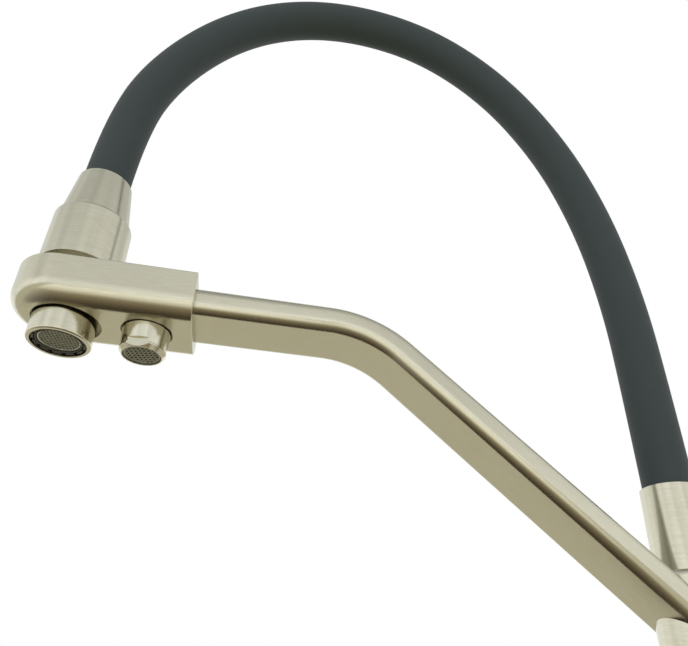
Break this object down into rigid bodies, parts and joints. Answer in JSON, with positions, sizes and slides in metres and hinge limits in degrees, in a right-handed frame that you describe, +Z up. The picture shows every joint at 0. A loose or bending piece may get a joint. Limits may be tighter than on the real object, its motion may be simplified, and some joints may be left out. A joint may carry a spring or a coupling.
{
  "type": "kitchen faucet with flexible hose spout",
  "caption": "Deck-mounted kitchen faucet: swivelling column, flat sloping arm, arching silicone hose, and a head with mixed and filtered water outlets.",
  "frame": {"origin": "on the deck, at the axis of the column and of the hole that the shank goes through", "axes": "+Z up along the column; the spout reaches along -X at rest; the mixing handle is on the -Y side and the filtered water handle on the +Y side"},
  "size_m": [0.3108, 0.134, 0.5461],
  "materials": {
    "satin_nickel": "brushed satin nickel plating, warm",
    "slate_silicone": "matt extruded silicone",
    "black_rubber": "moulded rubber",
    "inner_hose_rubber": "smooth rubber hose",
    "brass": "turned brass",
    "stainless_steel": "plain stainless steel",
    "white_acetal": "moulded acetal",
    "grey_plastic": "moulded dark grey plastic",
    "alumina_ceramic": "lapped ceramic",
    "polyethylene_tube": "extruded polyethylene"
  },
  "bodies": {
    "base": {"base_gasket": "black_rubber", "base_flange": "satin_nickel", "threaded_shank": "brass", "rubber_washer": "black_rubber", "steel_washer": "stainless_steel", "shank_nut": "brass", "mixer_body": "satin_nickel", "cartridge_housing": "white_acetal", "cartridge_port_seals": "black_rubber", "fixed_ceramic_disc": "alumina_ceramic", "cartridge_nut": "brass", "mixer_dome_cover": "satin_nickel", "filter_seat_seal": "black_rubber", "filter_valve_body": "brass", "filter_fixed_disc": "alumina_ceramic", "swivel_glide_ring": "white_acetal", "swivel_retaining_screw": "stainless_steel"},
    "spout": {"swivel_spigot": "brass", "swivel_seals": "black_rubber", "spout_column": "satin_nickel", "spout_arm": "satin_nickel", "arm_end_plug": "white_acetal", "filtered_water_tube": "polyethylene_tube", "head_block": "satin_nickel", "mixed_outlet_nipple": "brass", "mixed_aerator_washer": "black_rubber", "mixed_aerator_insert": "grey_plastic", "mixed_aerator_mesh": "stainless_steel", "mixed_aerator_shell": "satin_nickel", "filtered_outlet_nipple": "brass", "filtered_aerator_washer": "black_rubber", "filtered_aerator_insert": "grey_plastic", "filtered_aerator_mesh": "stainless_steel", "filtered_aerator_shell": "satin_nickel", "head_hose_tail": "brass", "hose_collar": "satin_nickel", "head_hose_ferrule": "satin_nickel", "body_hose_tail": "brass", "body_hose_ferrule": "satin_nickel", "hose_crimp_sleeves": "stainless_steel", "silicone_hose": "slate_silicone", "inner_water_hose": "inner_hose_rubber"},
    "mixer_rotor": {"cartridge_rotor": "white_acetal", "stem_pivot_pin": "stainless_steel"},
    "disc_slider": {"moving_ceramic_disc": "alumina_ceramic", "disc_carrier": "white_acetal"},
    "mixer_handle": {"cartridge_stem": "brass", "mixer_handle_hub": "satin_nickel", "mixer_lever": "satin_nickel", "mixer_grub_screw": "stainless_steel", "mixer_screw_plug": "satin_nickel"},
    "filter_handle": {"filter_moving_disc": "alumina_ceramic", "filter_spindle": "brass", "filter_spindle_seal": "black_rubber", "filter_handle_hub": "satin_nickel", "filter_lever": "satin_nickel", "filter_grub_screw": "stainless_steel"}
  },
  "joints": [
    {"name": "spout_swivel", "type": "hinge", "parent": "base", "child": "spout", "pos_m": [0, 0, 0.1], "axis": [0, 0, 1], "continuous": true},
    {"name": "mixer_turn", "type": "hinge", "parent": "base", "child": "mixer_rotor", "pos_m": [0, -0.0396, 0.056], "axis": [0, -1, 0], "range_deg": [-50, 50]},
    {"name": "mixer_tilt", "type": "hinge", "parent": "mixer_rotor", "child": "mixer_handle", "pos_m": [0, -0.0396, 0.056], "axis": [1, 0, 0], "range_deg": [0, 25]},
    {"name": "disc_slide", "type": "slide", "parent": "mixer_rotor", "child": "disc_slider", "axis": [0, 0, 1], "range_m": [0, 0.0039]},
    {"name": "filter_turn", "type": "hinge", "parent": "base", "child": "filter_handle", "pos_m": [0, 0.045, 0.056], "axis": [0, -1, 0], "range_deg": [0, 90]}
  ],
  "couplings": [
    {"joint": "disc_slide", "follows": "mixer_tilt", "m_per_rad": 0.0086}
  ]
}
